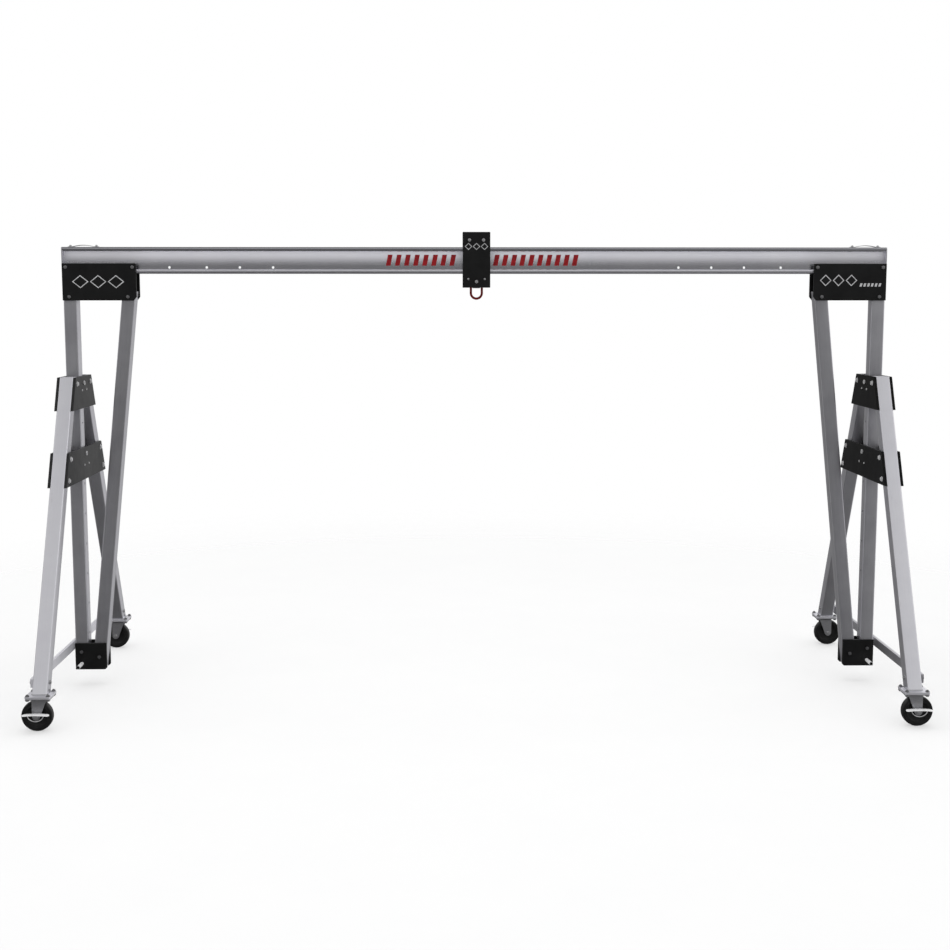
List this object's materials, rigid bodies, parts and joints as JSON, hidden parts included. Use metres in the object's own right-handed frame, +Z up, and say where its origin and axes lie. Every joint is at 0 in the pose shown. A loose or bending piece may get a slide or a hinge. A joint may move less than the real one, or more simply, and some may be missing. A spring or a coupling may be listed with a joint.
{
  "type": "portable gantry crane",
  "caption": "Portable gantry crane: I-beam on height-adjustable A-frames with knee braces, a rolling trolley with a shackle, and braked swivel casters.",
  "frame": {"origin": "on the floor under the middle of the beam", "axes": "+X along the beam to its right end, -Y to the front, +Z up"},
  "size_m": [4.687, 1.9196, 2.5615],
  "materials": {
    "beam_aluminium": "extruded, satin",
    "tube_aluminium": "extruded, satin",
    "plate_black": "satin powder coat",
    "bright_steel": "bright zinc plate",
    "caster_steel": "grey zinc plate",
    "roller_steel": "turned, satin",
    "bolt_steel": "zinc plate",
    "wheel_black": "moulded, low sheen",
    "shackle_red": "gloss paint"
  },
  "bodies": {
    "left_frame": {"guide_plate_upper_left_inner": "plate_black", "guide_plate_upper_left_outer": "plate_black", "guide_plate_lower_left_inner": "plate_black", "guide_plate_lower_left_outer": "plate_black", "tie_bar_left": "tube_aluminium", "leg_left_front": "tube_aluminium", "leg_left_rear": "tube_aluminium", "caster_plate_left_front": "caster_steel", "caster_plate_left_rear": "caster_steel"},
    "left_lock_pin": {"lock_pin_left": "bright_steel"},
    "right_frame": {"guide_plate_upper_right_inner": "plate_black", "guide_plate_upper_right_outer": "plate_black", "guide_plate_lower_right_inner": "plate_black", "guide_plate_lower_right_outer": "plate_black", "tie_bar_right": "tube_aluminium", "leg_right_front": "tube_aluminium", "leg_right_rear": "tube_aluminium", "caster_plate_right_front": "caster_steel", "caster_plate_right_rear": "caster_steel"},
    "right_lock_pin": {"lock_pin_right": "bright_steel"},
    "upper_structure": {"beam": "beam_aluminium", "carry_handle_left": "bright_steel", "end_plate_left_front": "plate_black", "end_plate_left_rear": "plate_black", "post_left": "tube_aluminium", "knee_brace_left": "tube_aluminium", "foot_plate_left_front": "plate_black", "foot_plate_left_rear": "plate_black", "lifting_bar_left": "bright_steel", "carry_handle_right": "bright_steel", "end_plate_right_front": "plate_black", "end_plate_right_rear": "plate_black", "post_right": "tube_aluminium", "knee_brace_right": "tube_aluminium", "foot_plate_right_front": "plate_black", "foot_plate_right_rear": "plate_black", "lifting_bar_right": "bright_steel"},
    "trolley": {"trolley_plate_front": "plate_black", "trolley_plate_rear": "plate_black", "roller_axle_left": "bolt_steel", "roller_axle_right": "bolt_steel", "spacer_bolt_left": "bolt_steel", "spacer_bolt_right": "bolt_steel", "load_pin": "bolt_steel"},
    "left_roller": {"trolley_roller_left": "roller_steel"},
    "right_roller": {"trolley_roller_right": "roller_steel"},
    "hook_block": {"shackle_block": "caster_steel"},
    "shackle": {"shackle": "shackle_red"},
    "caster_left_front": {"fork_left_front": "caster_steel"},
    "caster_wheel_left_front": {"wheel_left_front": "wheel_black"},
    "brake_left_front": {"brake_pedal_left_front": "bright_steel"},
    "caster_left_rear": {"fork_left_rear": "caster_steel"},
    "caster_wheel_left_rear": {"wheel_left_rear": "wheel_black"},
    "brake_left_rear": {"brake_pedal_left_rear": "bright_steel"},
    "caster_right_front": {"fork_right_front": "caster_steel"},
    "caster_wheel_right_front": {"wheel_right_front": "wheel_black"},
    "brake_right_front": {"brake_pedal_right_front": "bright_steel"},
    "caster_right_rear": {"fork_right_rear": "caster_steel"},
    "caster_wheel_right_rear": {"wheel_right_rear": "wheel_black"},
    "brake_right_rear": {"brake_pedal_right_rear": "bright_steel"}
  },
  "joints": [
    {"name": "height_left", "type": "slide", "parent": "left_frame", "child": "upper_structure", "axis": [0, 0, 1], "range_m": [0, 0.8575]},
    {"name": "height_right", "type": "slide", "parent": "upper_structure", "child": "right_frame", "axis": [0, 0, 1], "range_m": [-0.8575, 0]},
    {"name": "lock_pull_left", "type": "slide", "parent": "left_frame", "child": "left_lock_pin", "axis": [-1, 0, 0], "range_m": [0, 0.03], "stiffness_N_per_m": 400, "springref_m": -0.01},
    {"name": "lock_pull_right", "type": "slide", "parent": "right_frame", "child": "right_lock_pin", "axis": [1, 0, 0], "range_m": [0, 0.03], "stiffness_N_per_m": 400, "springref_m": -0.01},
    {"name": "trolley_travel", "type": "slide", "parent": "upper_structure", "child": "trolley", "axis": [1, 0, 0], "range_m": [-1.79, 1.79]},
    {"name": "roller_spin_left", "type": "hinge", "parent": "trolley", "child": "left_roller", "pos_m": [-0.03875, 0, 2.5168], "axis": [0, 1, 0], "continuous": true},
    {"name": "roller_spin_right", "type": "hinge", "parent": "trolley", "child": "right_roller", "pos_m": [0.03875, 0, 2.5168], "axis": [0, 1, 0], "continuous": true},
    {"name": "block_swing", "type": "hinge", "parent": "trolley", "child": "hook_block", "pos_m": [0, 0, 2.289], "axis": [0, 1, 0], "range_deg": [-15, 15]},
    {"name": "shackle_swing", "type": "hinge", "parent": "hook_block", "child": "shackle", "pos_m": [0, 0, 2.266], "axis": [1, 0, 0], "range_deg": [-50, 50]},
    {"name": "swivel_left_front", "type": "hinge", "parent": "left_frame", "child": "caster_left_front", "pos_m": [-2.2455, -0.8785, 0.17], "axis": [0, 0, 1], "continuous": true},
    {"name": "wheel_spin_left_front", "type": "hinge", "parent": "caster_left_front", "child": "caster_wheel_left_front", "pos_m": [-2.2635, -0.8785, 0.08], "axis": [0, 1, 0], "continuous": true},
    {"name": "brake_press_left_front", "type": "hinge", "parent": "caster_left_front", "child": "brake_left_front", "pos_m": [-2.2555, -0.9198, 0.097], "axis": [1, 0, 0], "range_deg": [0, 18]},
    {"name": "swivel_left_rear", "type": "hinge", "parent": "left_frame", "child": "caster_left_rear", "pos_m": [-2.2455, 0.8785, 0.17], "axis": [0, 0, 1], "continuous": true},
    {"name": "wheel_spin_left_rear", "type": "hinge", "parent": "caster_left_rear", "child": "caster_wheel_left_rear", "pos_m": [-2.2635, 0.8785, 0.08], "axis": [0, 1, 0], "continuous": true},
    {"name": "brake_press_left_rear", "type": "hinge", "parent": "caster_left_rear", "child": "brake_left_rear", "pos_m": [-2.2555, 0.9198, 0.097], "axis": [-1, 0, 0], "range_deg": [0, 18]},
    {"name": "swivel_right_front", "type": "hinge", "parent": "right_frame", "child": "caster_right_front", "pos_m": [2.2455, -0.8785, 0.17], "axis": [0, 0, 1], "continuous": true},
    {"name": "wheel_spin_right_front", "type": "hinge", "parent": "caster_right_front", "child": "caster_wheel_right_front", "pos_m": [2.2635, -0.8785, 0.08], "axis": [0, 1, 0], "continuous": true},
    {"name": "brake_press_right_front", "type": "hinge", "parent": "caster_right_front", "child": "brake_right_front", "pos_m": [2.2555, -0.9198, 0.097], "axis": [1, 0, 0], "range_deg": [0, 18]},
    {"name": "swivel_right_rear", "type": "hinge", "parent": "right_frame", "child": "caster_right_rear", "pos_m": [2.2455, 0.8785, 0.17], "axis": [0, 0, 1], "continuous": true},
    {"name": "wheel_spin_right_rear", "type": "hinge", "parent": "caster_right_rear", "child": "caster_wheel_right_rear", "pos_m": [2.2635, 0.8785, 0.08], "axis": [0, 1, 0], "continuous": true},
    {"name": "brake_press_right_rear", "type": "hinge", "parent": "caster_right_rear", "child": "brake_right_rear", "pos_m": [2.2555, 0.9198, 0.097], "axis": [-1, 0, 0], "range_deg": [0, 18]}
  ],
  "couplings": [
    {"joint": "height_right", "follows": "height_left", "ratio": -1},
    {"joint": "roller_spin_left", "follows": "trolley_travel", "rad_per_m": 26.667},
    {"joint": "roller_spin_right", "follows": "trolley_travel", "rad_per_m": 26.667}
  ]
}
